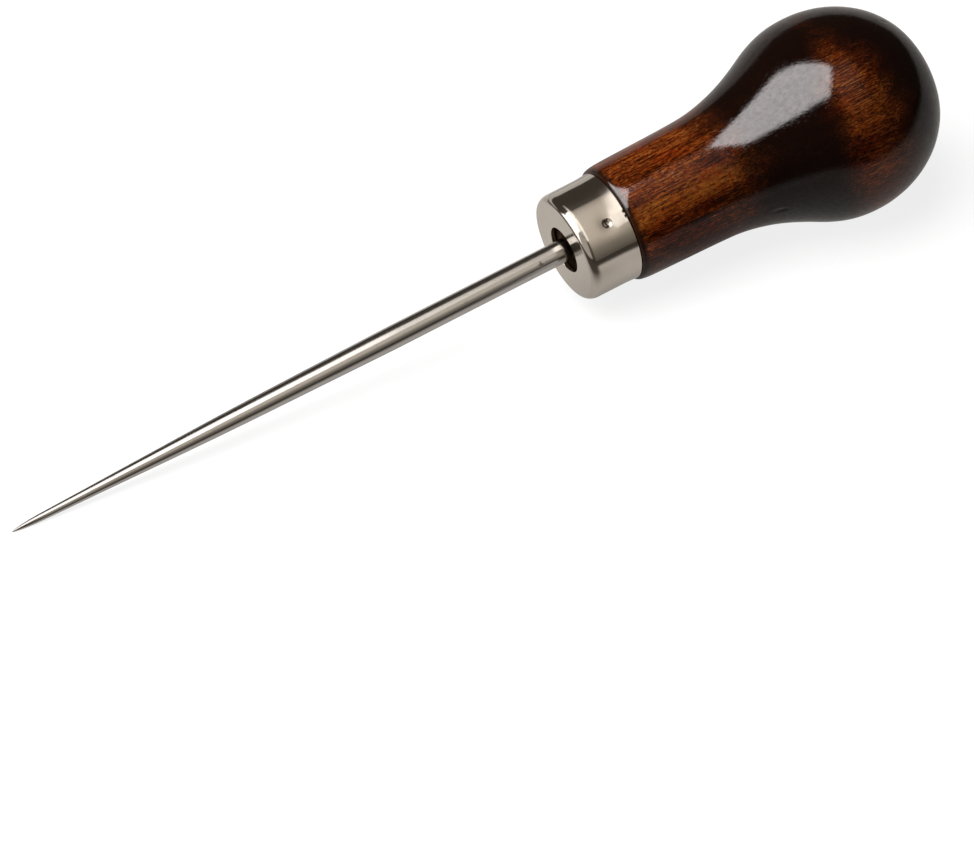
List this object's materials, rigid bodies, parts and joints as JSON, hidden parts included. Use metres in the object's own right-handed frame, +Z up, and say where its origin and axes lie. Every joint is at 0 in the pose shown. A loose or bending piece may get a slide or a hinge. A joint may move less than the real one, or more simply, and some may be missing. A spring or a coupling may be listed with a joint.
{
  "type": "scratch awl",
  "caption": "Scratch awl: a long tapered round steel point set through a bright cup ferrule into a glossy dark bulb-shaped wooden handle.",
  "frame": {"origin": "the awl's point where the tool lies on its side on a bench: the origin is on the bench, directly under the centre of the point's rounding", "axes": "+X along the bench from the point towards the handle, +Z up off the bench, +Y completes a right-handed frame; the tool's own axis rises 6.455 degrees from +X towards +Z, so point and handle bulb both touch z = 0"},
  "size_m": [0.1331, 0.027, 0.0272],
  "materials": {
    "blade_steel": "ground and polished steel, thin oil film, small dark stains near the ferrule",
    "ferrule_plate": "bright warm nickel plate on drawn steel, light surface undulation",
    "handle_wood": "dark walnut stained hardwood under gloss varnish, open grain"
  },
  "bodies": {
    "root": {"blade": "blade_steel", "ferrule": "ferrule_plate", "handle": "handle_wood"}
  },
  "joints": []
}
